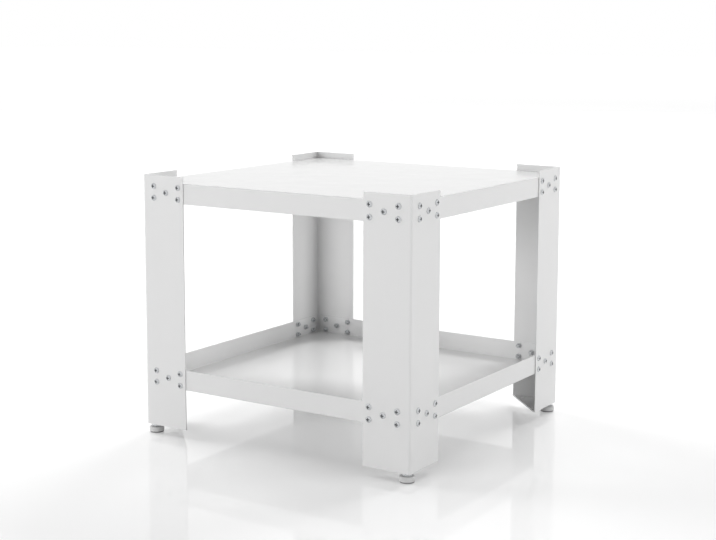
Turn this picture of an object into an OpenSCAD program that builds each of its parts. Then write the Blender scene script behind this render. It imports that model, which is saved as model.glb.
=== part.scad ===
// Laundry pedestal: four folded legs, a deck and a tray bolted between them, and levelling feet.
// Millimetres. The origin is on the floor under the middle of the pedestal, and the front faces -Y.

/* [Pedestal] */
// Width over the legs, left to right
stand_w = 612; // [500:1:800]
// Depth over the legs, front to back
stand_d = 600; // [500:1:800]
// Height of the legs, without the feet
leg_h = 500; // [320:1:900]
// Height of the leg bottoms above the floor, feet screwed in
foot_gap = 18; // [14:0.5:40]

/* [Legs] */
// Width of each of a leg's two flanges
leg_flange = 100; // [98:1:140]
// Thickness of the leg sheet
leg_t = 2; // [1.5:0.1:4]
// Outer radius of the leg's bend
leg_bend_r = 4; // [4:0.1:8]

/* [Deck and tray] */
// Thickness of the deck and tray sheet
pan_t = 1.5; // [1:0.1:2]
// Height of the deck's and the tray's flanges
pan_flange_h = 40; // [40:1:80]
// Outer radius of the bends between floor and flanges
pan_bend_r = 2.5; // [2.2:0.1:3]
// Clear gap left between a flange's end and the bend of the leg, where the corner stays open
pan_corner_gap = 7; // [0.5:0.5:10]
// Height of the legs above the deck, as a lip round what stands on it
deck_lip = 13; // [0:1:40]
// Height of the tray's underside above the leg bottoms
tray_up = 80; // [45:1:130]

/* [Deck channels] */
// Distance between the middles of the two channels under the deck
channel_spacing = 330; // [200:1:340]
// Width of a channel's crown
channel_crown_w = 30; // [20:1:40]
// Width of each of a channel's two welded rims
channel_rim_w = 15; // [8:1:18]
// Depth of a channel
channel_h = 20; // [12:1:36]
// Thickness of the channel sheet
channel_t = 1.5; // [1:0.1:2]
// Outer radius of a channel's bends
channel_bend_r = 3; // [2.5:0.1:4]
// Gap between a channel's end and the deck's flange
channel_end_gap = 2; // [1:0.5:30]

/* [Corner screws] */
// Distance of the first column of screws from the leg's corner
screw_inset = 27; // [24:0.5:30]
// Distance between the outer columns of screws
screw_span_x = 60; // [50:0.5:62]
// Distance between the outer rows of screws
screw_span_z = 23; // [20:0.5:24]
// Thread diameter of the screws
screw_d = 6; // [5:0.5:8]
// Clearance all round a screw in its holes
screw_hole_gap = 0.3; // [0.1:0.1:0.6]
// Length of a screw under its head
screw_len = 12; // [10:1:16]
// Diameter of a screw's head
screw_head_d = 12; // [10:0.5:14]
// Height of a screw's head
screw_head_h = 3.6; // [2.6:0.1:6]
// Height of the upright rim of a screw's head
screw_head_rim = 0.9; // [0.3:0.1:1.2]
// Length of the cross recess in a screw's head
recess_len = 5.6; // [4:0.1:7]
// Width of the cross recess
recess_w = 1.2; // [0.8:0.1:1.6]
// Depth of the cross recess
recess_deep = 1.7; // [1:0.1:2.2]
// Width across the flats of a nut on a screw
nut_flats = 10; // [9:0.5:11]
// Height of a nut on a screw
nut_h = 5; // [4:0.5:6]

/* [Foot plates] */
// Thickness of a foot plate
foot_plate_t = 3; // [2:0.5:6]
// Width of a foot plate's blunt tips
foot_plate_tip = 2; // [1:0.5:8]
// Clear gap between a foot plate and the bend of the leg
foot_plate_gap = 1; // [0.5:0.5:3]
// Diameter of a foot plate's floor fixing holes
fixing_d = 9; // [6:0.5:11]
// Distance of a fixing hole from the near face of the leg
fixing_inset = 13; // [10:0.5:14]
// Distance of a fixing hole from the far face of the leg
fixing_reach = 70; // [45:0.5:72]

/* [Levelling feet] */
// Distance of a foot's axis from both outer faces of the leg
foot_inset = 13.5; // [13:0.5:20]
// Travel of a foot, screwed fully out
foot_travel = 15; // [5:1:30]
// Thread diameter of a foot's stud
stud_d = 10; // [8:0.5:12]
// Running clearance all round the stud in its nuts and base
stud_gap = 0.06; // [0.02:0.01:0.1]
// Width across the flats of the nuts on the stud
stud_nut_flats = 17; // [16:0.5:18]
// Height of the weld nut on the foot plate
weld_nut_h = 8; // [6:0.5:12]
// Height of the jam nut under the foot plate
jam_nut_h = 6; // [4:0.5:8]
// Clearance hole round the stud in the foot plate
stud_hole_d = 13; // [12.5:0.5:15]
// Length of the stud above the weld nut, foot screwed fully out
stud_spare = 2; // [0:0.5:10]
// Width across the flats of the socket in the stud's top
stud_socket_flats = 5; // [3:0.5:5]
// Depth of that socket
stud_socket_deep = 6; // [2:0.5:10]
// Diameter of the stud's collar
collar_d = 14; // [13:0.5:16]
// Height of the stud's collar
collar_h = 3; // [2:0.5:3.5]
// Clearance all round the collar in the base
collar_gap = 0.3; // [0.2:0.1:0.5]
// Diameter of a foot's base
base_d = 29; // [26:0.5:40]
// Width and height of the slope round the base's top
base_slope = 2; // [0.5:0.5:3]
// Diameter of a foot's rubber sole
sole_d = 27; // [24:0.5:40]
// Thickness of the sole
sole_t = 2.5; // [2:0.5:4]

/* [Hidden] */
// Curves are smooth enough to count as round at their real size.
$fn = 64;
// A cut runs this far past the face that it opens.
past = 1;

// Each corner is [name, side, end]: side -1 left, 1 right; end -1 front, 1 back.
CORNERS = [["front_left", -1, -1], ["front_right", 1, -1], ["rear_left", -1, 1], ["rear_right", 1, 1]];
// Nodes that each corner has one of
CORNER_NODES = ["leg", "foot_plate", "weld_nut", "jam_nut", "foot_stud", "foot_base", "foot_sole",
                "deck_screws", "tray_screws", "deck_nuts", "tray_nuts"];

// The pans fit between the legs' inner faces and stop short of the legs' bends.
pan_w = stand_w - 2 * leg_t;
pan_d = stand_d - 2 * leg_t;
pan_notch = leg_bend_r - leg_t + pan_corner_gap;
deck_top = foot_gap + leg_h - deck_lip;
tray_under = foot_gap + tray_up;
// Middles of the two levels of screws, above the leg bottoms
deck_screw_z = leg_h - deck_lip - pan_flange_h / 2;
tray_screw_z = tray_up + pan_flange_h / 2;
// The five screws of a group, as [distance from the leg's corner, distance above the level's middle]
SCREW_SPOTS = concat([for (x = [0, screw_span_x], z = [-0.5, 0.5]) [screw_inset + x, z * screw_span_z]],
                     [[screw_inset + screw_span_x / 2, 0]]);
screw_hole_r = screw_d / 2 + screw_hole_gap;
// A thread is drawn at its outer diameter, and its nut closes on it to the running clearance.
nut_bore_r = screw_d / 2 + stud_gap;
stud_bore_r = stud_d / 2 + stud_gap;
// The base reaches up to the jam nut, and its pocket just holds the collar over the sole.
base_top = foot_gap - jam_nut_h;
stud_top = foot_gap + foot_plate_t + weld_nut_h + foot_travel + stud_spare;

// Colours, as seen in the photograph
coat = [0.93, 0.93, 0.93];
zinc = [0.72, 0.73, 0.74];
grey_plastic = [0.5, 0.5, 0.5];
black_rubber = [0.12, 0.12, 0.12];

// Puts a piece drawn for the front left corner, with that leg's corner at x = 0, y = 0, in its place.
module at_corner(corner) {
    side = corner[1];
    end = corner[2];
    translate([side * stand_w / 2, end * stand_d / 2, 0])
        mirror([side > 0 ? 1 : 0, 0, 0])
            mirror([0, end > 0 ? 1 : 0, 0])
                children();
}

// Repeats a piece for each screw of one corner and level. The piece's z = 0 is the leg's outer face,
// and its +z runs into the leg.
module at_screws(level) {
    for (spot = SCREW_SPOTS) {
        translate([spot[0], 0, foot_gap + level + spot[1]]) rotate([-90, 0, 0]) children();
        translate([0, spot[0], foot_gap + level + spot[1]]) rotate([90, 0, 90]) children();
    }
}

// A quarter ring in the quadrant where x and y are negative, the section of a bend in sheet.
module bend_section(outer_r, t) {
    intersection() {
        difference() {
            circle(outer_r);
            circle(outer_r - t);
        }
        translate([-outer_r, -outer_r]) square(outer_r);
    }
}

// Section of an upright L: a bend with a straight run on each side of it.
module angle_section(run_x, run_y, outer_r, t) {
    translate([outer_r, outer_r]) bend_section(outer_r, t);
    translate([outer_r, 0]) square([run_x - outer_r, t]);
    translate([0, outer_r]) square([t, run_y - outer_r]);
}

module screw_hole() {
    translate([0, 0, -past]) cylinder(r = screw_hole_r, h = leg_t + pan_t + 2 * past);
}

// Folded leg with its screw holes
module leg(corner) {
    color(coat) at_corner(corner) difference() {
        translate([0, 0, foot_gap]) linear_extrude(leg_h)
            angle_section(leg_flange, leg_flange, leg_bend_r, leg_t);
        at_screws(deck_screw_z) screw_hole();
        at_screws(tray_screw_z) screw_hole();
    }
}

// One flange of a pan with its bend, standing along x and centred on it, its outer face at y = 0
module pan_flange(length) {
    translate([-length / 2, 0, 0]) rotate([90, 0, 90]) linear_extrude(length) {
        translate([pan_bend_r, pan_bend_r]) bend_section(pan_bend_r, pan_t);
        translate([0, pan_bend_r]) square([pan_t, pan_flange_h - pan_bend_r]);
    }
}

// Folded pan, its floor's underside at z = 0 and its four flanges up, with open corners
module pan() {
    flat = [pan_w - 2 * pan_bend_r, pan_d - 2 * pan_bend_r];
    translate([-flat[0] / 2, -flat[1] / 2, 0]) cube([flat[0], flat[1], pan_t]);
    for (turn = [0, 180]) {
        rotate(turn) translate([0, -pan_d / 2, 0]) pan_flange(pan_w - 2 * pan_notch);
        rotate(turn + 90) translate([0, -pan_w / 2, 0]) pan_flange(pan_d - 2 * pan_notch);
    }
}

module pan_holes(level) {
    for (c = CORNERS) at_corner(c) at_screws(level) screw_hole();
}

// Upper pan, turned over so that its floor is the deck
module top_deck() {
    color(coat) difference() {
        translate([0, 0, deck_top]) mirror([0, 0, 1]) pan();
        pan_holes(deck_screw_z);
    }
}

// Lower pan, its floor the shelf
module lower_tray() {
    color(coat) difference() {
        translate([0, 0, tray_under]) pan();
        pan_holes(tray_screw_z);
    }
}

// Half of a channel's section: crown at the bottom, web, and rim at the top
module channel_half_section() {
    web_x = channel_crown_w / 2;
    square([web_x - channel_bend_r, channel_t]);
    translate([web_x - channel_bend_r, channel_bend_r]) mirror([1, 0]) bend_section(channel_bend_r, channel_t);
    translate([web_x - channel_t, channel_bend_r]) square([channel_t, channel_h - 2 * channel_bend_r]);
    translate([web_x - channel_t + channel_bend_r, channel_h - channel_bend_r])
        mirror([0, 1]) bend_section(channel_bend_r, channel_t);
    translate([web_x - channel_t + channel_bend_r, channel_h - channel_t])
        square([channel_rim_w + channel_t - channel_bend_r, channel_t]);
}

// Channel welded under the deck from front to back; side is -1 on the left and 1 on the right
module deck_channel(side) {
    length = pan_d - 2 * (pan_t + channel_end_gap);
    color(coat)
        translate([side * channel_spacing / 2, length / 2, deck_top - pan_t - channel_h])
            rotate([90, 0, 0]) linear_extrude(length) {
                channel_half_section();
                mirror([1, 0]) channel_half_section();
            }
}

// Screw with a low domed head and a cross recess
module screw() {
    dome_h = screw_head_h - screw_head_rim;
    dome_r = (pow(screw_head_d / 2, 2) + pow(dome_h, 2)) / (2 * dome_h);
    cylinder(d = screw_d, h = screw_len);
    difference() {
        intersection() {
            translate([0, 0, -screw_head_h]) cylinder(d = screw_head_d, h = screw_head_h);
            translate([0, 0, dome_r - screw_head_h]) sphere(dome_r);
        }
        for (turn = [0, 90]) rotate(turn)
            translate([-recess_len / 2, -recess_w / 2, -screw_head_h - past])
                cube([recess_len, recess_w, recess_deep + past]);
    }
}

module screw_group(corner, level) {
    color(zinc) at_corner(corner) at_screws(level) screw();
}

// Hexagon nut standing on z = 0, its flats facing y
module nut(flats, h, bore_r) {
    difference() {
        cylinder(d = flats / cos(30), h = h, $fn = 6);
        translate([0, 0, -past]) cylinder(r = bore_r, h = h + 2 * past);
    }
}

module nut_group(corner, level) {
    color(zinc) at_corner(corner) at_screws(level)
        translate([0, 0, leg_t + pan_t]) nut(nut_flats, nut_h, nut_bore_r);
}

// Triangular plate that closes the bottom of a leg, clear of its bend
module foot_plate(corner) {
    near = leg_t;
    past_bend = leg_bend_r + foot_plate_gap;
    color(coat) at_corner(corner) translate([0, 0, foot_gap]) difference() {
        linear_extrude(foot_plate_t)
            polygon([[past_bend, near], [leg_flange, near], [leg_flange, near + foot_plate_tip],
                     [near + foot_plate_tip, leg_flange], [near, leg_flange], [near, past_bend]]);
        translate([foot_inset, foot_inset, -past]) cylinder(d = stud_hole_d, h = foot_plate_t + 2 * past);
        for (place = [[fixing_reach, fixing_inset], [fixing_inset, fixing_reach]])
            translate([place[0], place[1], -past]) cylinder(d = fixing_d, h = foot_plate_t + 2 * past);
    }
}

// Places a piece of a levelling foot on its axis; z is a height above the floor.
module on_foot_axis(corner, z) {
    at_corner(corner) translate([foot_inset, foot_inset, z]) children();
}

module weld_nut(corner) {
    color(coat) on_foot_axis(corner, foot_gap + foot_plate_t) nut(stud_nut_flats, weld_nut_h, stud_bore_r);
}

module jam_nut(corner) {
    color(zinc) on_foot_axis(corner, base_top) nut(stud_nut_flats, jam_nut_h, stud_bore_r);
}

// Threaded stud: its collar stands on the sole, and a socket in its top takes the key.
module foot_stud(corner) {
    color(zinc) on_foot_axis(corner, 0) difference() {
        union() {
            translate([0, 0, sole_t]) cylinder(d = collar_d, h = collar_h);
            translate([0, 0, sole_t]) cylinder(d = stud_d, h = stud_top - sole_t);
        }
        translate([0, 0, stud_top - stud_socket_deep])
            cylinder(d = stud_socket_flats / cos(30), h = stud_socket_deep + past, $fn = 6);
    }
}

// Round base, open below for the stud's collar
module foot_base(corner) {
    pocket_r = collar_d / 2 + collar_gap;
    roof = sole_t + collar_h + stud_gap;
    color(grey_plastic) on_foot_axis(corner, 0) rotate_extrude()
        polygon([[pocket_r, sole_t], [base_d / 2, sole_t], [base_d / 2, base_top - base_slope],
                 [base_d / 2 - base_slope, base_top], [stud_bore_r, base_top], [stud_bore_r, roof],
                 [pocket_r, roof]]);
}

module foot_sole(corner) {
    color(black_rubber) on_foot_axis(corner, 0) cylinder(d = sole_d, h = sole_t);
}

top_deck();
lower_tray();
deck_channel(-1);  // deck_channel_left
deck_channel(1);  // deck_channel_right
for (c = CORNERS) {
    leg(c);
    foot_plate(c);
    weld_nut(c);
    jam_nut(c);
    foot_stud(c);
    foot_base(c);
    foot_sole(c);
    screw_group(c, deck_screw_z);
    screw_group(c, tray_screw_z);
    nut_group(c, deck_screw_z);
    nut_group(c, tray_screw_z);
}
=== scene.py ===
"""Looks of an open laundry pedestal of folded steel sheet, bolted together, on four levelling feet.

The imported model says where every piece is. The folded sheets keep their own meshes and get their finish
here. The screws, nuts and feet are modelled again with their threads, recesses and chamfers, and the welds
are added.
"""

import logging
import math
from collections.abc import Callable, Sequence
from dataclasses import dataclass, field
from enum import Enum
from itertools import pairwise
from typing import Any

import bpy
from mathutils import Matrix, Vector


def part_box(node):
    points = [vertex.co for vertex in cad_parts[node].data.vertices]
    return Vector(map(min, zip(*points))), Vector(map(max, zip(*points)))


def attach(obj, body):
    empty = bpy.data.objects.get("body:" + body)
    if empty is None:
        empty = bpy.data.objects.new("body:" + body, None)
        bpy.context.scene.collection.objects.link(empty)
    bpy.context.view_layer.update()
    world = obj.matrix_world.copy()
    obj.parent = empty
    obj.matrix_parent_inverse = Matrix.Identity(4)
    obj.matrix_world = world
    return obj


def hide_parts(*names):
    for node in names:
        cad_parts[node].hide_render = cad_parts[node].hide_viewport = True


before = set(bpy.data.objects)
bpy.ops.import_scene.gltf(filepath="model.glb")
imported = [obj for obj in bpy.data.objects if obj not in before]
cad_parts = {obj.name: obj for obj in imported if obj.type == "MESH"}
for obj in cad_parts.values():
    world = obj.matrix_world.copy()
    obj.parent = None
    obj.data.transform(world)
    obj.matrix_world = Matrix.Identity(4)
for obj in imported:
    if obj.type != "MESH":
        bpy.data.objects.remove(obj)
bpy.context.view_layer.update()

LOG = logging.getLogger("pedestal")
MM = 0.001

# The two colours and the result of a Mix node, by number, because its sockets share their names.
MIX_FIRST, MIX_SECOND, MIX_RESULT = 6, 7, 2
# The lowest and highest values that a noise usually reaches.
NOISE_LOW, NOISE_HIGH = 0.3, 0.7

Point = tuple[float, float]


def linear(colour: str) -> tuple[float, float, float, float]:
    """Turns an sRGB colour into the linear one that a shader takes.

    Args:
        colour: the colour as #RRGGBB.

    Returns:
        Linear red, green and blue, and an alpha of 1.
    """
    parts = [int(colour[i:i + 2], 16) / 255 for i in (1, 3, 5)]
    return (*(p / 12.92 if p <= 0.04045 else ((p + 0.055) / 1.055) ** 2.4 for p in parts), 1.0)


def add_node(tree: bpy.types.NodeTree, kind: str, values: dict[Any, Any] | None = None,
             **settings: Any) -> bpy.types.Node:
    """Adds one node with its settings, its values and its links.

    Args:
        tree: the tree that the node is added to.
        kind: the node's type name.
        values: for each input, by name or number, a value or the output socket that feeds it.
        settings: the node's own settings, such as a blend type.

    Returns:
        The new node.
    """
    node = tree.nodes.new(kind)
    for name, setting in settings.items():
        setattr(node, name, setting)
    for key, value in (values or {}).items():
        if isinstance(value, bpy.types.NodeSocket):
            tree.links.new(value, node.inputs[key])
        else:
            node.inputs[key].default_value = value
    return node


class Corner(Enum):
    """A corner of the pedestal: its name, and the way to it from the middle, to the side and to the end."""

    FRONT_LEFT = ("front_left", -1, -1)
    FRONT_RIGHT = ("front_right", 1, -1)
    REAR_LEFT = ("rear_left", -1, 1)
    REAR_RIGHT = ("rear_right", 1, 1)

    def __init__(self, label: str, side: int, end: int) -> None:
        """Keeps the parts of the value under their own names.

        Args:
            label: the corner's name, with which its nodes' names end.
            side: 1 on the right and -1 on the left.
            end: 1 at the rear and -1 at the front.
        """
        self.label = label
        self.side = side
        self.end = end

    def outer(self, node: str) -> Vector:
        """Gives the lowest outer corner of a node's box at this corner of the pedestal."""
        low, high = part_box(f"{node}_{self.label}")
        return Vector((high.x if self.side > 0 else low.x, high.y if self.end > 0 else low.y, low.z))

    def walls(self) -> list[tuple[Vector, Vector]]:
        """Gives the leg's two flanges.

        Returns:
            For each flange, the direction into the leg and the direction along it, away from the corner.
        """
        across = Vector((-self.side, 0, 0))
        back = Vector((0, -self.end, 0))
        return [(back, across), (across, back)]


class Level(Enum):
    """A level at which the legs are bolted."""

    DECK = "deck"
    TRAY = "tray"


class Cut(Enum):
    """What a boolean keeps of two solids."""

    TAKE_AWAY = "DIFFERENCE"
    KEEP_COMMON = "INTERSECT"
    UNITE = "UNION"


@dataclass(frozen=True)
class Finish:
    """A surface finish: its colour, its gloss, and how both change over the surface."""

    name: str
    slot: str
    colour: str
    second_colour: str
    roughness: float
    roughness_change: float
    blotch_mm: float
    grain_mm: float
    grain_depth_mm: float
    ior: float = 1.5
    metallic: float = 0.0

    def material(self) -> bpy.types.Material:
        """Gives the finish's material, made once.

        Returns:
            The material, named as the finish is.
        """
        found = bpy.data.materials.get(self.name)
        if found is not None:
            return found
        made = bpy.data.materials.new(self.name)
        made.use_nodes = True
        made.node_tree.nodes.clear()
        self.shade(made.node_tree)
        return made

    def shade(self, tree: bpy.types.NodeTree) -> None:
        """Draws the finish: cloudy tone and gloss over the blotch size, and a fine grain in relief.

        Args:
            tree: the material's empty node tree.
        """
        place = add_node(tree, "ShaderNodeTexCoord").outputs["Object"]
        cloud = add_node(tree, "ShaderNodeTexNoise", {
            "Vector": place, "Scale": 1 / (self.blotch_mm * MM), "Detail": 3.0, "Roughness": 0.55})
        tone = add_node(tree, "ShaderNodeMix", {
            "Factor": cloud.outputs["Fac"], MIX_FIRST: linear(self.colour),
            MIX_SECOND: linear(self.second_colour)}, data_type="RGBA")
        gloss = add_node(tree, "ShaderNodeMapRange", {
            "Value": cloud.outputs["Fac"], "From Min": NOISE_LOW, "From Max": NOISE_HIGH,
            "To Min": self.roughness - self.roughness_change,
            "To Max": self.roughness + self.roughness_change})
        grain = add_node(tree, "ShaderNodeTexNoise", {
            "Vector": place, "Scale": 1 / (self.grain_mm * MM), "Detail": 1.5, "Roughness": 0.5})
        relief = add_node(tree, "ShaderNodeBump", {
            "Height": grain.outputs["Fac"], "Distance": self.grain_depth_mm * MM, "Strength": 1.0})
        surface = add_node(tree, "ShaderNodeBsdfPrincipled", {
            "Base Color": tone.outputs[MIX_RESULT], "Roughness": gloss.outputs["Result"],
            "Normal": relief.outputs["Normal"], "IOR": self.ior, "Metallic": self.metallic})
        add_node(tree, "ShaderNodeOutputMaterial", {"Surface": surface.outputs["BSDF"]})


# Gloss polyester powder, sprayed on and baked: an even pale skin that mirrors softly at a low angle, with
# the faint orange peel of the melted powder, drawn twice as coarse as it is so that it shows.
POWDER_COAT = Finish("gloss_powder_coat_on_steel", "white_coat", "#E2E2E2", "#DFDFDF", roughness=0.15,
                     roughness_change=0.03, blotch_mm=70, grain_mm=2.4, grain_depth_mm=0.008)

# Bright zinc, plated in a barrel: silvery and slightly clouded, softly scuffed by the other parts in the
# barrel. The scuffs are drawn coarser than they are, as they would not show.
ZINC_PLATE = Finish("barrel_plated_bright_zinc", "zinc", "#CED0D2", "#BEC0C2", roughness=0.27,
                    roughness_change=0.07, blotch_mm=4, grain_mm=0.35, grain_depth_mm=0.004, metallic=1.0)

# Painted shade: the faces inside a screw's cross recess are coloured dark grey and dull, standing in for the
# shade and dark reflections in the narrow recess. Its grain is drawn coarser to show.
RECESS_PAINTED_SHADE = Finish("zinc_recess_painted_shade", "zinc", "#5A5C5E", "#4C4E50", roughness=0.5,
                   roughness_change=0.05, blotch_mm=2, grain_mm=0.3, grain_depth_mm=0.004, metallic=1.0)

# Polyamide moulded in an eroded steel mould: light grey and matt, with a fine even grain, drawn coarser
# to show.
POLYAMIDE = Finish("moulded_grey_polyamide", "grey_plastic", "#D2D2D2", "#CBCBCB", roughness=0.48,
                   roughness_change=0.06, blotch_mm=12, grain_mm=0.3, grain_depth_mm=0.012, ior=1.53)

# Black rubber from a plain mould: dull, greyed all over by floor dust, and painted lighter still as painted
# light that offsets the contact shadow at the foot of the base. Its grain is drawn coarser to show.
RUBBER = Finish("moulded_black_rubber", "black_rubber", "#767676", "#848484", roughness=0.8,
                roughness_change=0.08, blotch_mm=6, grain_mm=0.5, grain_depth_mm=0.02, ior=1.52)


@dataclass(frozen=True)
class Bench:
    """Modelling steps that the pieces share. All lengths given to it are in millimetres."""

    doubled: float = 0.001
    on_the_plane: float = 0.0001

    def clear(self) -> None:
        """Deselects everything, so that the next operator works on its own piece alone."""
        bpy.ops.object.select_all(action="DESELECT")

    def pick(self, *pieces: bpy.types.Object) -> None:
        """Selects only these pieces and makes the first the active one.

        Args:
            pieces: the pieces that the next operator works on.
        """
        self.clear()
        for piece in pieces:
            piece.select_set(True)
        bpy.context.view_layer.objects.active = pieces[0]

    def settle(self, piece: bpy.types.Object, name: str) -> bpy.types.Object:
        """Names a new primitive and moves its place into its mesh.

        Args:
            piece: the object that an operator has just added.
            name: its new name.

        Returns:
            The same object, at the origin, unturned and unscaled.
        """
        piece.name = name
        self.pick(piece)
        bpy.ops.object.transform_apply(location=True, rotation=True, scale=True)
        return piece

    def close(self, piece: bpy.types.Object) -> None:
        """Merges doubled points, so that seams and poles are closed, and turns every face outwards.

        Args:
            piece: a closed shape that may have doubled points or faces turned inwards.
        """
        self.pick(piece)
        bpy.ops.object.mode_set(mode="EDIT")
        bpy.ops.mesh.select_all(action="SELECT")
        bpy.ops.mesh.remove_doubles(threshold=self.doubled * MM)
        bpy.ops.mesh.normals_make_consistent(inside=False)
        bpy.ops.object.mode_set(mode="OBJECT")

    def chain(self, name: str, points: Sequence[Point]) -> bpy.types.Object:
        """Draws a chain of edges in the X-Z plane, by extruding one corner from point to point.

        Args:
            name: name of the new object.
            points: the chain's points as (distance from Z, height).

        Returns:
            The chain, one edge for each step from point to point.
        """
        self.clear()
        start = points[0]
        bpy.ops.mesh.primitive_plane_add(size=MM, location=(start[0] * MM, 0, start[1] * MM))
        piece = self.settle(bpy.context.object, name)
        bpy.ops.object.mode_set(mode="EDIT")
        bpy.ops.mesh.select_all(action="SELECT")
        bpy.ops.mesh.merge(type="CENTER")
        for here, there in pairwise(points):
            step = ((there[0] - here[0]) * MM, 0, (there[1] - here[1]) * MM)
            bpy.ops.mesh.extrude_region_move(TRANSFORM_OT_translate={"value": step})
        bpy.ops.object.mode_set(mode="OBJECT")
        return piece

    def turned(self, name: str, outline: Sequence[Point], steps: int) -> bpy.types.Object:
        """Turns an outline round Z, as on a lathe.

        Args:
            name: name of the new object.
            outline: the outline as (radius, height). It ends on the axis at both ends, or where it began.
            steps: number of flats round the axis.

        Returns:
            A closed solid.
        """
        piece = self.chain(name, outline)
        bpy.ops.object.mode_set(mode="EDIT")
        bpy.ops.mesh.select_all(action="SELECT")
        bpy.ops.mesh.spin(steps=steps, angle=2 * math.pi, center=(0, 0, 0), axis=(0, 0, 1))
        bpy.ops.object.mode_set(mode="OBJECT")
        self.close(piece)
        return piece

    def hexagon(self, name: str, flats: float, low: float, high: float) -> bpy.types.Object:
        """Makes a hexagonal bar along Z, two of its flats square to Y.

        Args:
            name: name of the new object.
            flats: width across the flats.
            low: height of its lower end.
            high: height of its upper end.

        Returns:
            A closed solid.
        """
        self.clear()
        bpy.ops.mesh.primitive_cylinder_add(
            vertices=6, radius=flats / math.sqrt(3) * MM, depth=(high - low) * MM,
            location=(0, 0, (low + high) / 2 * MM), rotation=(0, 0, math.radians(30)))
        return self.settle(bpy.context.object, name)

    def saw(self, piece: bpy.types.Object, point: Vector, off: Vector) -> None:
        """Cuts a solid with a plane and closes the cut.

        Args:
            piece: the solid.
            point: a point of the plane, in millimetres.
            off: the direction of what is cut off.
        """
        self.pick(piece)
        bpy.ops.object.mode_set(mode="EDIT")
        bpy.ops.mesh.select_all(action="SELECT")
        bpy.ops.mesh.bisect(plane_co=point * MM, plane_no=off, use_fill=True, clear_outer=True,
                            threshold=self.on_the_plane * MM)
        bpy.ops.object.mode_set(mode="OBJECT")

    def open_faces(self, piece: bpy.types.Object, wanted: Callable[[bpy.types.MeshPolygon], bool]) -> None:
        """Opens the active piece for editing with some of its faces selected.

        Args:
            piece: the active piece, in object mode.
            wanted: says of a face whether it is selected.
        """
        bpy.ops.object.mode_set(mode="EDIT")
        bpy.ops.mesh.select_all(action="DESELECT")
        bpy.ops.object.mode_set(mode="OBJECT")
        for face in piece.data.polygons:
            face.select = wanted(face)
        bpy.ops.object.mode_set(mode="EDIT")

    def combine(self, body: bpy.types.Object, tool: bpy.types.Object, cut: Cut) -> None:
        """Cuts or joins a solid with another, which is used up.

        Args:
            body: the solid that stays.
            tool: the solid that is used up.
            cut: what is kept of the two.
        """
        modifier = body.modifiers.new("cut", "BOOLEAN")
        modifier.operation = cut.value
        modifier.solver = "EXACT"
        modifier.object = tool
        self.pick(body)
        bpy.ops.object.modifier_apply(modifier=modifier.name)
        bpy.data.objects.remove(tool)

    def rounded(self, piece: bpy.types.Object, width: float, least_angle: float, segments: int = 2) -> None:
        """Rounds every edge that is sharper than an angle.

        Args:
            piece: the solid.
            width: width of the rounding.
            least_angle: in degrees, between the two faces' directions.
            segments: number of faces across the rounding.
        """
        modifier = piece.modifiers.new("rounding", "BEVEL")
        modifier.limit_method = "ANGLE"
        modifier.angle_limit = math.radians(least_angle)
        modifier.width = width * MM
        modifier.segments = segments
        modifier.use_clamp_overlap = True
        self.pick(piece)
        bpy.ops.object.modifier_apply(modifier=modifier.name)

    def smooth(self, piece: bpy.types.Object, angle: float = 32) -> None:
        """Shades a piece smooth, except over edges sharper than an angle in degrees."""
        self.pick(piece)
        bpy.ops.object.shade_smooth_by_angle(angle=math.radians(angle))

    def copied(self, pattern: bpy.types.Object, name: str, place: Matrix) -> bpy.types.Object:
        """Copies a piece with its own mesh, and puts the copy in its place.

        Args:
            pattern: the piece that is copied.
            name: the copy's name.
            place: where the copy goes, in metres.

        Returns:
            The copy, at the origin, its place in its mesh.
        """
        copy = pattern.copy()
        copy.data = pattern.data.copy()
        copy.name = name
        copy.data.transform(place)
        bpy.context.scene.collection.objects.link(copy)
        return copy

    def joined(self, name: str, pieces: Sequence[bpy.types.Object]) -> bpy.types.Object:
        """Makes one object of several that stay separate solids.

        Args:
            name: the name of the one object.
            pieces: the objects that it is made of.

        Returns:
            The one object.
        """
        self.pick(*pieces)
        if len(pieces) > 1:
            bpy.ops.object.join()
        pieces[0].name = name
        return pieces[0]

    def drop(self, *patterns: bpy.types.Object) -> None:
        """Deletes patterns whose copies are all made."""
        for pattern in patterns:
            bpy.data.objects.remove(pattern)


BENCH = Bench()


def hand_over(piece: bpy.types.Object, finish: Finish, body: str, *nodes: str) -> None:
    """Finishes a new piece: gives it its material and its body, hides the nodes that it stands for, and
    reports it.

    Args:
        piece: the piece, in place. One that has materials already keeps them.
        finish: its finish, or its main one.
        body: the body that it moves with.
        nodes: the nodes that it replaces.
    """
    if not piece.data.materials:
        piece.data.materials.append(finish.material())
    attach(piece, body)
    if nodes:
        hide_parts(*nodes)
    LOG.info("%s: %d faces in %s, on %s", piece.name, len(piece.data.polygons), finish.name, body)


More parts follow.
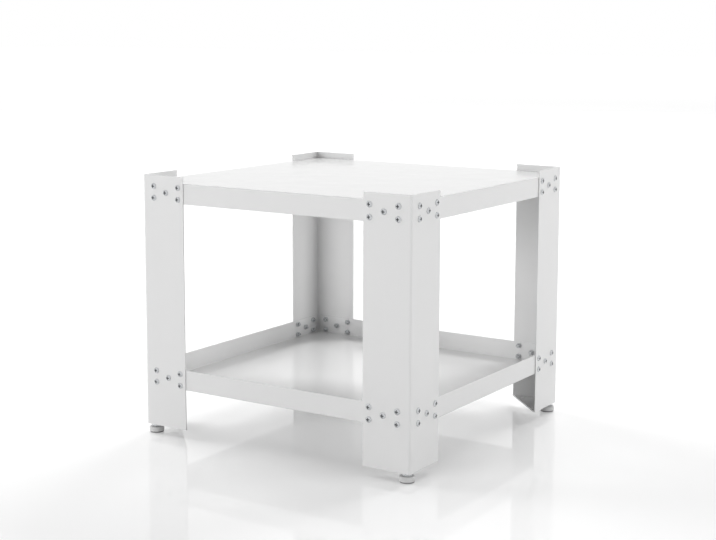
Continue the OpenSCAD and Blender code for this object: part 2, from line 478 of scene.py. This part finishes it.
@dataclass(frozen=True)
class Thread:
    """A metric screw thread, right-handed."""

    diameter: float
    pitch: float
    steps: int = 20

    @property
    def depth(self) -> float:
        """Depth of the thread, by the metric standard."""
        return 0.6134 * self.pitch

    def tooth(self, low: float) -> list[Point]:
        """Gives one pitch of the thread's outline, with 60 degree flanks and a flat crest and root.

        Args:
            low: height at which the pitch begins.

        Returns:
            The outline's points as (radius, height).
        """
        crest, root = self.diameter / 2, self.diameter / 2 - self.depth
        flank = self.depth * math.tan(math.radians(30))
        flat = self.pitch / 8
        heights = (0, flank, flank + flat, 2 * flank + flat, self.pitch)
        return list(zip((root, crest, crest, root, root), (low + h for h in heights)))

    def rod(self, name: str, low: float, high: float) -> bpy.types.Object:
        """Makes a threaded rod along Z, sawn square at both ends.

        Args:
            name: name of the new object.
            low: height of the lower end.
            high: height of the upper end.

        Returns:
            A closed solid.
        """
        piece = BENCH.chain(name, self.tooth(low - self.pitch))
        sweep = piece.modifiers.new("sweep", "SCREW")
        sweep.axis = "Z"
        sweep.angle = 2 * math.pi
        sweep.screw_offset = self.pitch * MM
        sweep.iterations = math.ceil((high - low) / self.pitch) + 2
        sweep.steps = sweep.render_steps = self.steps
        BENCH.pick(piece)
        bpy.ops.object.modifier_apply(modifier=sweep.name)
        BENCH.close(piece)
        BENCH.saw(piece, Vector((0, 0, low)), Vector((0, 0, -1)))
        BENCH.saw(piece, Vector((0, 0, high)), Vector((0, 0, 1)))
        BENCH.close(piece)
        return piece


@dataclass
class PanHeadScrew:
    """A screw with a low domed head and a cross recess. Its head stands on z = 0, and it points up."""

    thread: Thread = field(default_factory=lambda: Thread(6, 1.0, steps=16))
    length: float = 12
    head_d: float = 12
    head_h: float = 3.6
    rim: float = 0.9
    wing_length: float = 8.4
    wing_width: float = 2.2
    wing_taper: float = 0.72
    recess_depth: float = 1.5
    recess_middle_d: float = 3.9
    middle_mouth: float = 1.25
    middle_foot: float = 0.35
    head_rounding: float = 0.22
    thread_shown: float = 4
    shank_under: float = 0.1
    tip_chamfer: float = 0.7

    @property
    def dome_r(self) -> float:
        """Radius of the head's dome, which rises from the upright rim."""
        rise = self.head_h - self.rim
        return ((self.head_d / 2) ** 2 + rise ** 2) / (2 * rise)

    def head(self) -> bpy.types.Object:
        """Shapes the head from a ball: its cap, drawn down to an upright rim, with soft edges.

        Returns:
            A closed solid, its seat on z = 0 and its dome below it.
        """
        rim = self.rim * MM
        BENCH.clear()
        bpy.ops.mesh.primitive_uv_sphere_add(segments=32, ring_count=40, radius=self.dome_r * MM,
                                             location=(0, 0, (self.dome_r - self.head_h) * MM))
        piece = BENCH.settle(bpy.context.object, "screw_head")
        BENCH.saw(piece, Vector((0, 0, -self.rim)), Vector((0, 0, 1)))
        BENCH.open_faces(piece, lambda face: face.normal.z > 0.9 and abs(face.center.z + rim) < 0.01 * MM)
        bpy.ops.mesh.extrude_region_move(TRANSFORM_OT_translate={"value": (0, 0, rim)})
        bpy.ops.object.mode_set(mode="OBJECT")
        BENCH.rounded(piece, self.head_rounding, 25)
        BENCH.close(piece)
        return piece

    def driver(self) -> bpy.types.Object:
        """Makes the recess as a solid: two crossed wings that narrow downwards, and a cone in the middle.

        Returns:
            A closed solid that is cut out of the head.
        """
        tall = self.recess_depth + 1.0
        middle = (0, 0, (self.recess_depth - self.head_h - tall / 2) * MM)
        middle_r = self.recess_middle_d / 2 * MM
        BENCH.clear()
        bpy.ops.mesh.primitive_cone_add(vertices=16, radius1=middle_r * self.middle_mouth,
                                        radius2=middle_r * self.middle_foot, depth=tall * MM, location=middle)
        cutter = BENCH.settle(bpy.context.object, "driver")
        for turn in (0, 90):
            BENCH.clear()
            bpy.ops.mesh.primitive_cube_add(size=MM, location=middle, rotation=(0, 0, math.radians(turn)),
                                            scale=(self.wing_length, self.wing_width, tall))
            wing = bpy.context.object
            BENCH.open_faces(wing, lambda face: face.normal.z > 0.9)
            bpy.ops.transform.resize(value=(self.wing_taper, self.wing_taper, 1))
            bpy.ops.object.mode_set(mode="OBJECT")
            BENCH.combine(cutter, BENCH.settle(wing, "wing"), Cut.UNITE)
        return cutter

    def mark_recess(self, piece: bpy.types.Object) -> None:
        """Gives the faces inside the recess a dark, dull finish, which is painted shade for the shade and
        dark reflections in the narrow recess. They are found by their depth under the dome.

        Args:
            piece: the head with its recess.
        """
        under_dome, over_seat = 0.08, 0.4
        # The second material is painted shade that darkens the recess.
        for finish in (ZINC_PLATE, RECESS_PAINTED_SHADE):
            piece.data.materials.append(finish.material())
        for face in piece.data.polygons:
            out = math.hypot(face.center.x, face.center.y) / MM
            dome = self.dome_r - self.head_h - math.sqrt(self.dome_r ** 2 - out ** 2)
            deep = dome + under_dome < face.center.z / MM < -over_seat
            face.material_index = 1 if deep and out < self.wing_length / 2 else 0

    def model(self) -> bpy.types.Object:
        """Makes the whole screw: head, recess, plain shank inside the sheets, and the thread that shows.

        Returns:
            A closed solid, its head on z = 0 and its end pointing up.
        """
        piece = self.head()
        BENCH.combine(piece, self.driver(), Cut.TAKE_AWAY)
        self.mark_recess(piece)
        radius = self.thread.diameter / 2
        shank_r = radius - self.shank_under
        shank_end = self.length - self.thread_shown
        into_head, into_thread, spare = 0.4, 0.3, 1.0
        shank = BENCH.turned("shank", [(0, -into_head), (shank_r, -into_head),
                                       (shank_r, shank_end + into_thread), (0, shank_end + into_thread)], 32)
        rod = self.thread.rod("rod", shank_end, self.length)
        tip = BENCH.turned("tip", [(0, shank_end - spare), (radius + spare, shank_end - spare),
                                   (radius + spare, self.length - self.tip_chamfer - spare),
                                   (radius - self.tip_chamfer, self.length), (0, self.length)], 32)
        BENCH.combine(rod, tip, Cut.KEEP_COMMON)
        BENCH.combine(piece, shank, Cut.UNITE)
        BENCH.combine(piece, rod, Cut.UNITE)
        BENCH.close(piece)
        BENCH.smooth(piece)
        piece.name = "screw_pattern"
        return piece


@dataclass
class HexNut:
    """A hexagon nut that stands on z = 0, its corners turned off at both ends."""

    flats: float
    height: float
    bore: float
    steps: int = 36
    bore_chamfer: float = 0.4
    face_share: float = 0.96
    blank_share: float = 0.62
    end_slope: float = 30

    def model(self, name: str) -> bpy.types.Object:
        """Turns the nut's blank with its bore and sloping ends, and keeps what a hexagonal bar has of it.

        Args:
            name: name of the new object.

        Returns:
            A closed solid.
        """
        face_r = self.flats / 2 * self.face_share
        past_corner = self.flats * self.blank_share
        slope = (past_corner - face_r) * math.tan(math.radians(self.end_slope))
        sink = self.bore_chamfer
        bore_r = self.bore / 2
        blank = BENCH.turned(name, [
            (bore_r + sink, 0), (face_r, 0), (past_corner, slope), (past_corner, self.height - slope),
            (face_r, self.height), (bore_r + sink, self.height), (bore_r, self.height - sink), (bore_r, sink),
            (bore_r + sink, 0)], self.steps)
        BENCH.combine(blank, BENCH.hexagon("bar", self.flats, -1, self.height + 1), Cut.KEEP_COMMON)
        BENCH.close(blank)
        BENCH.smooth(blank, 25)
        return blank


@dataclass
class CornerFasteners:
    """The screws and nuts that bolt the deck and the tray to the legs, five to a flange in a quincunx."""

    first: float = 27
    span_along: float = 60
    span_up: float = 23
    leg_sheet: float = 2
    pan_sheet: float = 1.5
    screw: PanHeadScrew = field(default_factory=PanHeadScrew)
    nut: HexNut = field(default_factory=lambda: HexNut(flats=10, height=5, bore=6.12))
    slack: float = 9
    slack_step: float = 2.4

    def spots(self) -> list[Point]:
        """Gives the five places on a flange, as distance from the leg's corner and height over the middle."""
        outer = [(self.first + along, up * self.span_up)
                 for along in (0, self.span_along) for up in (-0.5, 0.5)]
        return [*outer, (self.first + self.span_along / 2, 0)]

    def places(self, corner: Corner, level: Level, sunk: float) -> list[Matrix]:
        """Gives the places of ten screws or nuts at a corner and level.

        Args:
            corner: the leg's corner.
            level: the deck's or the tray's screws.
            sunk: distance from the leg's outer face to the piece's z = 0, in millimetres.

        Returns:
            A place for each, its +Z pointing into the leg. The driver stopped each one nearly level,
            and its own turn is off by up to the slack, in degrees.
        """
        start = corner.outer("leg")
        low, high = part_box(f"{level.value}_screws_{corner.label}")
        made = []
        for inward, along in corner.walls():
            facing = inward.to_track_quat("Z", "Y").to_matrix().to_4x4()
            for out, up in self.spots():
                place = start + along * out * MM + inward * sunk * MM
                place.z = (low.z + high.z) / 2 + up * MM
                stopped = math.radians(self.slack * math.sin(self.slack_step * len(made)))
                made.append(Matrix.Translation(place) @ facing @ Matrix.Rotation(stopped, 4, "Z"))
        return made

    def build(self) -> None:
        """Models one screw and one nut, and sets a group of ten of each at every corner and level.

        A nut stands on the inner sheet, and a screw's head on the leg's outer face.
        """
        patterns = {"screws": self.screw.model(), "nuts": self.nut.model("nut_pattern")}
        depths = {"screws": 0.0, "nuts": self.leg_sheet + self.pan_sheet}
        for kind, pattern in patterns.items():
            for corner in Corner:
                for level in Level:
                    node = f"{level.value}_{kind}_{corner.label}"
                    copies = [BENCH.copied(pattern, f"{node}_{i}", place)
                              for i, place in enumerate(self.places(corner, level, depths[kind]))]
                    group = BENCH.joined(f"{node}_dressed", copies)
                    hand_over(group, ZINC_PLATE, "stand", node)
        BENCH.drop(*patterns.values())


@dataclass
class LevellingFoot:
    """A foot that screws in and out: stud with its collar, base, rubber sole, jam nut and weld nut."""

    thread: Thread = field(default_factory=lambda: Thread(10, 1.5, steps=28))
    collar_d: float = 14
    collar_h: float = 3
    socket_flats: float = 5
    socket_depth: float = 6
    tip_chamfer: float = 1
    nut_flats: float = 17
    nut_chamfer: float = 0.6
    bore: float = 10.12
    tack_turns: tuple[float, ...] = (90, 210, 330)
    tack_size: tuple[float, float, float] = (1.4, 2.6, 1.5)
    base_d: float = 29
    base_slope: float = 2
    base_edge: float = 0.5
    base_softness: float = 0.2
    line_depth: float = 0.2
    line_width: float = 0.6
    pocket_d: float = 14.6
    pocket_play: float = 0.06
    sole_d: float = 27
    sole_edge: float = 0.6
    sole_rim: float = 3
    grooves: int = 3
    groove_width: float = 1.4
    groove_depth: float = 0.6
    groove_flank: float = 0.3

    def stud(self, low: float, high: float) -> bpy.types.Object:
        """Makes the stud: thread with a turned-off top, collar at the foot and a hexagon socket on top.

        Args:
            low: height of its foot.
            high: height of its top.

        Returns:
            A closed solid on the Z axis.
        """
        radius, collar_r = self.thread.diameter / 2, self.collar_d / 2
        collar_top = low + self.collar_h
        spare, edge = 2.0, 0.3
        rod = self.thread.rod("stud_pattern", collar_top - 1, high)
        lathe = BENCH.turned("lathe", [
            (0, low), (radius + spare, low), (radius + spare, high - self.tip_chamfer - spare),
            (radius - self.tip_chamfer, high), (0, high)], 48)
        BENCH.combine(rod, lathe, Cut.KEEP_COMMON)
        collar = BENCH.turned("collar", [
            (0, low), (collar_r - edge, low), (collar_r, low + edge), (collar_r, collar_top - edge),
            (collar_r - edge, collar_top), (0, collar_top)], 48)
        BENCH.combine(rod, collar, Cut.UNITE)
        socket = BENCH.hexagon("socket", self.socket_flats, high - self.socket_depth, high + 1)
        BENCH.combine(rod, socket, Cut.TAKE_AWAY)
        BENCH.close(rod)
        BENCH.smooth(rod)
        return rod

    def base(self, low: float, high: float) -> bpy.types.Object:
        """Turns the moulded base: soft edges, a parting line, and the pocket that holds the collar.

        Args:
            low: height of its underside.
            high: height of its top.

        Returns:
            A closed solid on the Z axis.
        """
        outer, shoulder = self.base_d / 2, self.base_d / 2 - self.base_slope
        pocket, bore = self.pocket_d / 2, self.bore / 2
        edge, soft, slope_foot = self.base_edge, self.base_softness, high - self.base_slope
        roof = low + self.collar_h + self.pocket_play
        line = (low + high) / 2 - 0.4
        groove_r, groove_side = outer - self.line_depth, self.line_width / 4
        piece = BENCH.turned("base_pattern", [
            (pocket, low), (outer - edge, low), (outer - 0.3 * edge, low + 0.3 * edge), (outer, low + edge),
            (outer, line), (groove_r, line + groove_side), (groove_r, line + self.line_width - groove_side),
            (outer, line + self.line_width), (outer, slope_foot - 1.5 * soft),
            (outer - soft, slope_foot + soft), (shoulder + soft, high - soft), (shoulder - 2 * soft, high),
            (bore + 2 * soft, high), (bore, high - 2 * soft), (bore, roof), (pocket, roof),
            (pocket, low)], 64)
        BENCH.smooth(piece)
        return piece

    def sole(self, low: float, high: float) -> bpy.types.Object:
        """Turns the rubber sole, with a rounded rim and ring grooves that grip the floor.

        Args:
            low: height of its underside.
            high: height of its top.

        Returns:
            A closed solid on the Z axis.
        """
        outer, edge, flank = self.sole_d / 2, self.sole_edge, self.groove_flank
        pitch = (outer - self.sole_rim) / (self.grooves + 0.5)
        roof = low + self.groove_depth
        rings: list[Point] = [(0, low)]
        for i in range(self.grooves):
            near = pitch * (i + 0.5)
            far = near + self.groove_width
            rings += [(near, low), (near + flank, roof), (far - flank, roof), (far, low)]
        piece = BENCH.turned("sole_pattern", [
            *rings, (outer - edge, low), (outer - edge / 4, low + edge / 3), (outer, low + edge),
            (outer, high), (0, high)], 64)
        BENCH.smooth(piece)
        return piece

    def nut(self, name: str, low: float, high: float) -> bpy.types.Object:
        """Makes a nut that fits the stud.

        Args:
            name: name of the new object.
            low: height of its lower end.
            high: height of its upper end.

        Returns:
            A closed solid on the Z axis.
        """
        piece = HexNut(self.nut_flats, high - low, self.bore, steps=48, bore_chamfer=self.nut_chamfer)
        made = piece.model(name)
        made.data.transform(Matrix.Translation((0, 0, low * MM)))
        return made

    def weld_nut(self, low: float, high: float) -> bpy.types.Object:
        """Makes the nut on the foot plate, with a tack weld at the foot of every other flat.

        Args:
            low: height of its lower end.
            high: height of its upper end.

        Returns:
            The nut and its three tacks as one object on the Z axis.
        """
        pieces = [self.nut("weld_nut_pattern", low, high)]
        for degrees in self.tack_turns:
            turn = math.radians(degrees)
            place = Vector((math.cos(turn), math.sin(turn), 0)) * self.nut_flats / 2 + Vector((0, 0, low))
            BENCH.clear()
            bpy.ops.mesh.primitive_uv_sphere_add(segments=20, ring_count=10, radius=MM, location=place * MM,
                                                 rotation=(0, 0, turn), scale=self.tack_size)
            tack = BENCH.settle(bpy.context.object, "tack")
            BENCH.saw(tack, Vector((0, 0, low)), Vector((0, 0, -1)))
            BENCH.smooth(tack)
            pieces.append(tack)
        return BENCH.joined("weld_nut_pattern", pieces)

    def build(self) -> None:
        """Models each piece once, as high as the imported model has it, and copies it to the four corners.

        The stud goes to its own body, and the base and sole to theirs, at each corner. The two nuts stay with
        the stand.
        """
        kinds = ("foot_stud", "foot_base", "foot_sole", "jam_nut", "weld_nut")
        first = Corner.FRONT_LEFT.label
        spans = {kind: [point.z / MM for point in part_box(f"{kind}_{first}")] for kind in kinds}
        patterns = {"foot_stud": (self.stud(*spans["foot_stud"]), ZINC_PLATE, "stud"),
                    "foot_base": (self.base(*spans["foot_base"]), POLYAMIDE, "foot"),
                    "foot_sole": (self.sole(*spans["foot_sole"]), RUBBER, "foot"),
                    "jam_nut": (self.nut("jam_pattern", *spans["jam_nut"]), ZINC_PLATE, "stand"),
                    "weld_nut": (self.weld_nut(*spans["weld_nut"]), POWDER_COAT, "stand")}
        for kind, (pattern, finish, body) in patterns.items():
            for corner in Corner:
                node = f"{kind}_{corner.label}"
                low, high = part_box(node)
                axis = Matrix.Translation(((low.x + high.x) / 2, (low.y + high.y) / 2, 0))
                piece = BENCH.copied(pattern, f"{node}_dressed", axis)
                hand_over(piece, finish, body if body == "stand" else f"{body}_{corner.label}", node)
            BENCH.drop(pattern)


@dataclass
class Welds:
    """The welds under the paint: beads that hold the foot plates, and spots that hold the deck's channels."""

    bead_r: float = 2.2
    bead_valley: float = 0.86
    bead_ripple: float = 1.6
    bead_length: float = 20
    bead_starts: tuple[float, ...] = (36, 80)
    leg_sheet: float = 2
    spot_r: float = 3
    spot_pitch: float = 72
    spot_end: float = 30
    rim_w: float = 15
    channel_sheet: float = 1.5

    def bead(self) -> bpy.types.Object:
        """Makes a rippled bead along X that fills the corner of the planes y = 0 and z = 0.

        Returns:
            A closed solid, its end at x = 0.
        """
        count = round(self.bead_length / self.bead_ripple)
        low = self.bead_r * self.bead_valley
        # The points nearest to the two ends round them off.
        outline: list[Point] = [(0, 0), (low * 0.75, 0.25)]
        for i in range(count):
            outline += [(self.bead_r, (i + 0.55) * self.bead_ripple), (low, (i + 1) * self.bead_ripple)]
        end = count * self.bead_ripple
        piece = BENCH.turned("bead_pattern", [*outline, (low * 0.6, end + 0.35), (0, end + 0.6)], 16)
        piece.data.transform(Matrix.Rotation(math.radians(90), 4, "Y"))
        BENCH.saw(piece, Vector((0, 0, 0)), Vector((0, -1, 0)))
        BENCH.saw(piece, Vector((0, 0, 0)), Vector((0, 0, -1)))
        BENCH.close(piece)
        BENCH.smooth(piece, 50)
        return piece

    def build_beads(self) -> None:
        """Runs two short beads along each wall of every foot plate, on its upper side.

        Where a wall is the mirror image of the bead's own corner, the bead runs the other way.
        """
        pattern = self.bead()
        for corner in Corner:
            start = corner.outer("leg")
            start.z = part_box(f"foot_plate_{corner.label}")[1].z
            beads = []
            for inward, along in corner.walls():
                flipped = along.cross(inward).z < 0
                run = -along if flipped else along
                axes = Matrix((run, inward, Vector((0, 0, 1)))).transposed().to_4x4()
                for first in self.bead_starts:
                    reach = first + (self.bead_length if flipped else 0) - self.bead_length / 2
                    place = Matrix.Translation(start + (along * reach + inward * self.leg_sheet) * MM)
                    beads.append(BENCH.copied(pattern, f"bead_{len(beads)}", place @ axes))
            hand_over(BENCH.joined(f"foot_plate_welds_{corner.label}", beads), POWDER_COAT, "stand")
        BENCH.drop(pattern)

    def build_spots(self) -> None:
        """Presses a row of spot welds into both rims of each channel, seen from below.

        A spot is a low ring round a shallow dimple. Its root lies inside the channel's sheet.
        """
        r = self.spot_r
        pattern = BENCH.turned("spot_pattern", [
            (0, 0.3), (r, 0.3), (r, 0), (r - 0.4, -0.22), (r - 0.9, -0.2), (r - 1.2, -0.05),
            (0, -0.05)], 20)
        BENCH.smooth(pattern, 40)
        for side in ("left", "right"):
            low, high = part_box(f"deck_channel_{side}")
            count = math.floor((high.y - low.y - 2 * self.spot_end * MM) / (self.spot_pitch * MM)) + 1
            first = (low.y + high.y) / 2 - (count - 1) / 2 * self.spot_pitch * MM
            rims = (low.x + self.rim_w / 2 * MM, high.x - self.rim_w / 2 * MM)
            under = high.z - self.channel_sheet * MM
            spots = [BENCH.copied(pattern, f"spot_{x:.3f}_{i}",
                                  Matrix.Translation((x, first + i * self.spot_pitch * MM, under)))
                     for x in rims for i in range(count)]
            hand_over(BENCH.joined(f"channel_spot_welds_{side}", spots), POWDER_COAT, "stand")
        BENCH.drop(pattern)


@dataclass
class FoldedSheets:
    """The sheets that are cut and folded: legs, deck, tray, channels and foot plates."""

    single: tuple[str, ...] = ("top_deck", "lower_tray", "deck_channel_left", "deck_channel_right")
    at_each_corner: tuple[str, ...] = ("leg", "foot_plate")

    def names(self) -> list[str]:
        """Lists the nodes that are folded or cut from sheet."""
        cornered = [f"{kind}_{corner.label}" for kind in self.at_each_corner for corner in Corner]
        return [*self.single, *cornered]

    def dress(self) -> None:
        """Gives each sheet its powder coat.

        Their meshes and places stay as they are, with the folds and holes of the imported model.
        """
        for name in self.names():
            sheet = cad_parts[name]
            sheet.data.materials.clear()
            sheet.data.materials.append(POWDER_COAT.material())
            LOG.info("%s: powder coated", name)


@dataclass(frozen=True)
class Softbox:
    """A soft lamp that faces the pedestal. Its place and size are in metres, and its power in watts."""

    name: str
    place: tuple[float, float, float]
    width: float
    height: float
    power: float


@dataclass
class Studio:
    """A pale glossy floor under soft lamps, low in front and on the right, high behind and on the left."""

    floor_size: float = 60
    floor_colour: str = "#E6E6E6"
    floor_roughness: float = 0.04
    floor_ior: float = 1.5
    floor_lift: float = 0.24
    lamps: tuple[Softbox, ...] = (
        Softbox("softbox_above", (0, 0, 6.0), 5.0, 5.0, 50),
        Softbox("softbox_front", (-2.1, -8.75, 1.75), 6.6, 3.0, 490),
        Softbox("softbox_right", (8.75, 2.1, 1.75), 6.6, 3.0, 458),
        Softbox("softbox_high_rear", (0, 7.0, 5.5), 6.6, 2.6, 560),
        Softbox("softbox_high_left", (-7.0, 0, 5.5), 6.6, 2.6, 505),
    )
    aim: tuple[float, float, float] = (0, 0, 0.25)

    def seen(self, tree: bpy.types.NodeTree) -> bpy.types.NodeSocket:
        """Gives 1 for rays that see the white straight, in a gloss or through glass, and 0 for the rest.

        Args:
            tree: the tree that gets the nodes.

        Returns:
            The socket that gives the number.
        """
        rays = add_node(tree, "ShaderNodeLightPath").outputs
        shine = add_node(tree, "ShaderNodeMath", {0: rays["Is Camera Ray"], 1: rays["Is Glossy Ray"]},
                         operation="MAXIMUM")
        return add_node(tree, "ShaderNodeMath", {0: shine.outputs[0], 1: rays["Is Transmission Ray"]},
                        operation="MAXIMUM").outputs[0]

    def light_world(self) -> None:
        """Sets a white backdrop round the scene.

        It is seen straight, in a gloss and through glass. Dull surfaces get no light from it.
        """
        world = bpy.data.worlds.new("studio")
        bpy.context.scene.world = world
        world.use_nodes = True
        tree = world.node_tree
        tree.nodes.clear()
        white = add_node(tree, "ShaderNodeBackground", {"Color": linear("#FFFFFF"),
                                                        "Strength": self.seen(tree)})
        add_node(tree, "ShaderNodeOutputWorld", {"Surface": white.outputs["Background"]})

    def lay_floor(self) -> None:
        """Lays the glossy floor. Seen straight or mirrored, it is lifted to white, and keeps its shadows.

        From below it can be looked through, so that the pedestal's underside shows.
        """
        BENCH.clear()
        bpy.ops.mesh.primitive_plane_add(size=self.floor_size)
        floor = bpy.context.object
        floor.name = "studio_floor"
        material = bpy.data.materials.new("polished_white_floor")
        material.use_nodes = True
        tree = material.node_tree
        tree.nodes.clear()
        lift = add_node(tree, "ShaderNodeMath", {0: self.seen(tree), 1: self.floor_lift},
                        operation="MULTIPLY")
        surface = add_node(tree, "ShaderNodeBsdfPrincipled", {
            "Base Color": linear(self.floor_colour), "Roughness": self.floor_roughness,
            "IOR": self.floor_ior, "Emission Color": linear("#FFFFFF"),
            "Emission Strength": lift.outputs[0]})
        clear = add_node(tree, "ShaderNodeBsdfTransparent")
        below = add_node(tree, "ShaderNodeNewGeometry").outputs["Backfacing"]
        sided = add_node(tree, "ShaderNodeMixShader", {0: below, 1: surface.outputs["BSDF"],
                                                       2: clear.outputs["BSDF"]})
        add_node(tree, "ShaderNodeOutputMaterial", {"Surface": sided.outputs["Shader"]})
        floor.data.materials.append(material)

    def hang_lamps(self) -> None:
        """Hangs the soft lamps, each turned to the pedestal's middle.

        Neither the camera nor a gloss sees them, so they leave no bright shapes of their own.
        """
        for box in self.lamps:
            BENCH.clear()
            bpy.ops.object.light_add(type="AREA", location=box.place)
            lamp = bpy.context.object
            lamp.name = box.name
            lamp.data.shape = "RECTANGLE"
            lamp.data.size, lamp.data.size_y = box.width, box.height
            lamp.data.energy = box.power
            lamp.rotation_euler = (Vector(box.place) - Vector(self.aim)).to_track_quat("Z", "Y").to_euler()
            lamp.visible_camera = False
            lamp.visible_glossy = False

    def build(self) -> None:
        """Sets up the backdrop, the floor and the lamps.

        The picture is shown with Blender's standard view, which leaves its greys as they are.
        """
        self.light_world()
        self.lay_floor()
        self.hang_lamps()
        bpy.context.scene.view_settings.view_transform = "Standard"


@dataclass
class PhotoCamera:
    """The camera at the photograph's viewpoint, found by fitting the pedestal's corners to it.

    The place is in millimetres and the angles are in degrees.
    """

    place: tuple[float, float, float] = (1579.4, -2431.5, 815.2)
    yaw: float = 33.0
    pitch: float = 7.817
    roll: float = 0.153
    focal_px: float = 1447.7
    axis_y_px: float = 220
    image: tuple[int, int] = (716, 540)
    sensor: float = 36

    def turn(self) -> Matrix:
        """Gives the camera's rotation.

        Returns:
            The camera's right, its up and its back as columns.
        """
        yaw, pitch, roll = (math.radians(a) for a in (self.yaw, self.pitch, self.roll))
        ahead = Vector((-math.sin(yaw) * math.cos(pitch), math.cos(yaw) * math.cos(pitch),
                        -math.sin(pitch)))
        level = Vector((math.cos(yaw), math.sin(yaw), 0))
        upright = level.cross(ahead)
        right = math.cos(roll) * level + math.sin(roll) * upright
        up = math.cos(roll) * upright - math.sin(roll) * level
        return Matrix((right, up, -ahead)).transposed()

    def build(self) -> None:
        """Sets up the camera and makes it the scene's.

        Its lens is shifted by what the photograph's axis lies above the picture's middle.
        """
        data = bpy.data.cameras.new("photo_camera")
        data.sensor_width = self.sensor
        data.lens = self.focal_px / self.image[0] * self.sensor
        data.shift_y = (self.axis_y_px - self.image[1] / 2) / self.image[0]
        data.clip_end = 100
        camera = bpy.data.objects.new("photo_camera", data)
        camera.matrix_world = Matrix.Translation(Vector(self.place) * MM) @ self.turn().to_4x4()
        bpy.context.scene.collection.objects.link(camera)
        bpy.context.scene.camera = camera


def main() -> None:
    """Builds the camera, the pedestal's pieces and the studio, in order.

    Each piece is reported as it is finished.
    """
    logging.basicConfig(level=logging.INFO, format="%(name)s: %(message)s")
    PhotoCamera().build()
    FoldedSheets().dress()
    CornerFasteners().build()
    LevellingFoot().build()
    welds = Welds()
    welds.build_beads()
    welds.build_spots()
    Studio().build()


if __name__ == "__main__":
    main()
